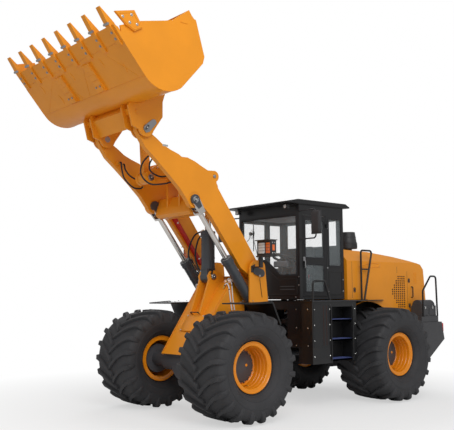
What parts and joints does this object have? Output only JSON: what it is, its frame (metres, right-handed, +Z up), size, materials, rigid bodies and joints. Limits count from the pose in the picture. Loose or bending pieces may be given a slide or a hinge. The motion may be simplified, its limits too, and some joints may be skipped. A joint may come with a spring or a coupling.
{
  "type": "articulated wheel loader",
  "caption": "Articulated wheel loader with a raised bucket on lift arms, wide tyres, a closed cab, a rear engine hood, a steering hitch and a working bucket linkage.",
  "frame": {"origin": "on the ground under the articulation hitch, midway between the axles and on the centre line", "axes": "+Z up, -Y the way the loader drives forward with the bucket leading, +X the loader's left side"},
  "size_m": [3.192, 8.0033, 5.834],
  "materials": {
    "loader_yellow": "semi-gloss",
    "rim_yellow": "semi-gloss",
    "black_paint": "satin",
    "grey_paint": "satin",
    "cylinder_paint": "satin",
    "red_paint": "satin",
    "tyre_rubber": "matt",
    "bright_steel": "polished",
    "pin_steel": "machined",
    "cast_black": "as cast",
    "lamp_plastic": "gloss",
    "red_lens": "gloss",
    "clear_glass": "polished",
    "seat_vinyl": "matt",
    "dark_plastic": "matt"
  },
  "bodies": {
    "rear_frame": {"rear_frame": "black_paint", "engine_block": "cast_black", "hood": "loader_yellow", "rear_grille": "black_paint", "counterweight": "grey_paint", "battery_boxes": "grey_paint", "tow_hitch": "black_paint", "side_steps": "black_paint", "handrails": "black_paint", "intake_exhaust": "dark_plastic", "cab_frame": "black_paint", "cab_roof": "black_paint", "cab_glass": "clear_glass", "seat": "seat_vinyl", "steering_column": "dark_plastic", "mirrors": "dark_plastic", "rear_axle": "grey_paint", "tail_lamps": "red_lens", "work_lamps": "lamp_plastic"},
    "front_frame": {"front_frame": "loader_yellow", "front_axle": "grey_paint", "front_fenders": "black_paint", "headlamps": "lamp_plastic"},
    "boom": {"boom": "loader_yellow", "boom_safety_strut": "red_paint"},
    "bucket_pins": {"bucket_pins": "pin_steel"},
    "bucket": {"bucket": "loader_yellow", "coupler": "loader_yellow", "bucket_teeth": "loader_yellow"},
    "bellcrank_pin": {"bellcrank_pin": "pin_steel"},
    "bellcrank": {"bellcrank": "loader_yellow"},
    "link_pin": {"link_pin": "pin_steel"},
    "tilt_link": {"tilt_link": "loader_yellow"},
    "tilt_base_pin": {"tilt_base_pin": "pin_steel"},
    "tilt_barrel": {"tilt_barrel": "cylinder_paint"},
    "tilt_rod": {"tilt_rod": "bright_steel"},
    "door_left": {"door_left": "black_paint", "door_left_glass": "clear_glass"},
    "lift_barrel_left": {"lift_barrel_left": "cylinder_paint"},
    "lift_rod_left": {"lift_rod_left": "bright_steel"},
    "lift_barrel_right": {"lift_barrel_right": "cylinder_paint"},
    "lift_rod_right": {"lift_rod_right": "bright_steel"},
    "steer_barrel_left": {"steer_barrel_left": "cylinder_paint"},
    "steer_rod_left": {"steer_rod_left": "bright_steel"},
    "steer_barrel_right": {"steer_barrel_right": "cylinder_paint"},
    "steer_rod_right": {"steer_rod_right": "bright_steel"},
    "wheel_front_left": {"tyre_front_left": "tyre_rubber", "rim_front_left": "rim_yellow"},
    "wheel_front_right": {"tyre_front_right": "tyre_rubber", "rim_front_right": "rim_yellow"},
    "wheel_rear_left": {"tyre_rear_left": "tyre_rubber", "rim_rear_left": "rim_yellow"},
    "wheel_rear_right": {"tyre_rear_right": "tyre_rubber", "rim_rear_right": "rim_yellow"}
  },
  "joints": [
    {"name": "steer", "type": "hinge", "parent": "rear_frame", "child": "front_frame", "pos_m": [0, 0, 0.9], "axis": [0, 0, 1], "range_deg": [-35, 35]},
    {"name": "boom_lift", "type": "hinge", "parent": "front_frame", "child": "boom", "pos_m": [0, -0.85, 2.22], "axis": [-1, 0, 0], "range_deg": [-79, 2]},
    {"name": "bucket_pin_turn", "type": "hinge", "parent": "boom", "child": "bucket_pins", "pos_m": [0, -3.033, 4.263], "axis": [-1, 0, 0], "range_deg": [-2.05, 79.05]},
    {"name": "bucket_tilt", "type": "hinge", "parent": "bucket_pins", "child": "bucket", "pos_m": [0, -3.033, 4.263], "axis": [1, 0, 0], "range_deg": [0, 86]},
    {"name": "bellcrank_pin_turn", "type": "hinge", "parent": "boom", "child": "bellcrank_pin", "pos_m": [0, -1.974, 3.835], "axis": [-1, 0, 0], "range_deg": [-48.8, 1.3]},
    {"name": "bellcrank_turn", "type": "hinge", "parent": "bellcrank_pin", "child": "bellcrank", "pos_m": [0, -1.974, 3.835], "axis": [1, 0, 0], "range_deg": [-38.5, 0.1]},
    {"name": "link_pin_turn", "type": "hinge", "parent": "bucket", "child": "link_pin", "pos_m": [0, -2.655, 4.489], "axis": [-1, 0, 0], "range_deg": [-109.1, 2.9]},
    {"name": "tilt_link_turn", "type": "hinge", "parent": "link_pin", "child": "tilt_link", "pos_m": [0, -2.655, 4.489], "axis": [-1, 0, 0], "range_deg": [-0.1, 43.6]},
    {"name": "tilt_base_pin_turn", "type": "hinge", "parent": "front_frame", "child": "tilt_base_pin", "pos_m": [0, -1.364, 2.135], "axis": [-1, 0, 0], "range_deg": [-92.2, 2.4]},
    {"name": "tilt_barrel_turn", "type": "hinge", "parent": "tilt_base_pin", "child": "tilt_barrel", "pos_m": [0, -1.364, 2.135], "axis": [1, 0, 0], "range_deg": [-0.1, 13.3]},
    {"name": "tilt_rod_slide", "type": "slide", "parent": "tilt_barrel", "child": "tilt_rod", "axis": [0, 0, 1], "range_m": [-0.304, 0.001]},
    {"name": "lift_barrel_left_turn", "type": "hinge", "parent": "front_frame", "child": "lift_barrel_left", "pos_m": [0.53, -0.7, 1.45], "axis": [-1, 0, 0], "range_deg": [-62, 1.6]},
    {"name": "lift_rod_left_slide", "type": "slide", "parent": "lift_barrel_left", "child": "lift_rod_left", "axis": [0, -0.6055, 0.7958], "range_m": [-0.84, 0.022]},
    {"name": "lift_barrel_right_turn", "type": "hinge", "parent": "front_frame", "child": "lift_barrel_right", "pos_m": [-0.53, -0.7, 1.45], "axis": [-1, 0, 0], "range_deg": [-62, 1.6]},
    {"name": "lift_rod_right_slide", "type": "slide", "parent": "lift_barrel_right", "child": "lift_rod_right", "axis": [0, -0.6055, 0.7958], "range_m": [-0.84, 0.022]},
    {"name": "steer_barrel_left_turn", "type": "hinge", "parent": "rear_frame", "child": "steer_barrel_left", "pos_m": [0.36, 0.72, 0.86], "axis": [0, 0, 1], "range_deg": [-15.4, 15.4]},
    {"name": "steer_rod_left_slide", "type": "slide", "parent": "steer_barrel_left", "child": "steer_rod_left", "axis": [0.0898, -0.996, 0], "range_m": [-0.26, 0.26]},
    {"name": "steer_barrel_right_turn", "type": "hinge", "parent": "rear_frame", "child": "steer_barrel_right", "pos_m": [-0.36, 0.72, 0.86], "axis": [0, 0, 1], "range_deg": [-15.4, 15.4]},
    {"name": "steer_rod_right_slide", "type": "slide", "parent": "steer_barrel_right", "child": "steer_rod_right", "axis": [-0.0898, -0.996, 0], "range_m": [-0.26, 0.26]},
    {"name": "wheel_front_left_spin", "type": "hinge", "parent": "front_frame", "child": "wheel_front_left", "pos_m": [1.118, -1.735, 0.805], "axis": [1, 0, 0], "continuous": true},
    {"name": "wheel_front_right_spin", "type": "hinge", "parent": "front_frame", "child": "wheel_front_right", "pos_m": [-1.118, -1.735, 0.805], "axis": [1, 0, 0], "continuous": true},
    {"name": "wheel_rear_left_spin", "type": "hinge", "parent": "rear_frame", "child": "wheel_rear_left", "pos_m": [1.118, 1.735, 0.805], "axis": [1, 0, 0], "continuous": true},
    {"name": "wheel_rear_right_spin", "type": "hinge", "parent": "rear_frame", "child": "wheel_rear_right", "pos_m": [-1.118, 1.735, 0.805], "axis": [1, 0, 0], "continuous": true},
    {"name": "door_left_open", "type": "hinge", "parent": "rear_frame", "child": "door_left", "pos_m": [0.775, 0.68, 2.45], "axis": [0, 0, 1], "range_deg": [0, 90]}
  ],
  "couplings": [
    {"joint": "bucket_pin_turn", "follows": "boom_lift", "ratio": -1},
    {"joint": "bellcrank_pin_turn", "follows": "boom_lift", "ratio": 0.6166},
    {"joint": "bellcrank_turn", "follows": "bucket_tilt", "ratio": -0.4462},
    {"joint": "link_pin_turn", "follows": "boom_lift", "ratio": 1.3794},
    {"joint": "tilt_link_turn", "follows": "bucket_tilt", "ratio": 0.5048},
    {"joint": "tilt_base_pin_turn", "follows": "boom_lift", "ratio": 1.1655},
    {"joint": "tilt_barrel_turn", "follows": "bucket_tilt", "ratio": 0.1536},
    {"joint": "tilt_rod_slide", "follows": "bucket_tilt", "m_per_rad": -0.202},
    {"joint": "lift_barrel_left_turn", "follows": "boom_lift", "ratio": 0.7844},
    {"joint": "lift_rod_left_slide", "follows": "boom_lift", "m_per_rad": 0.6079},
    {"joint": "lift_barrel_right_turn", "follows": "boom_lift", "ratio": 0.7844},
    {"joint": "lift_rod_right_slide", "follows": "boom_lift", "m_per_rad": 0.6079},
    {"joint": "steer_barrel_left_turn", "follows": "steer", "ratio": 0.4377},
    {"joint": "steer_rod_left_slide", "follows": "steer", "m_per_rad": -0.4185},
    {"joint": "steer_barrel_right_turn", "follows": "steer", "ratio": 0.4377},
    {"joint": "steer_rod_right_slide", "follows": "steer", "m_per_rad": 0.4185}
  ]
}
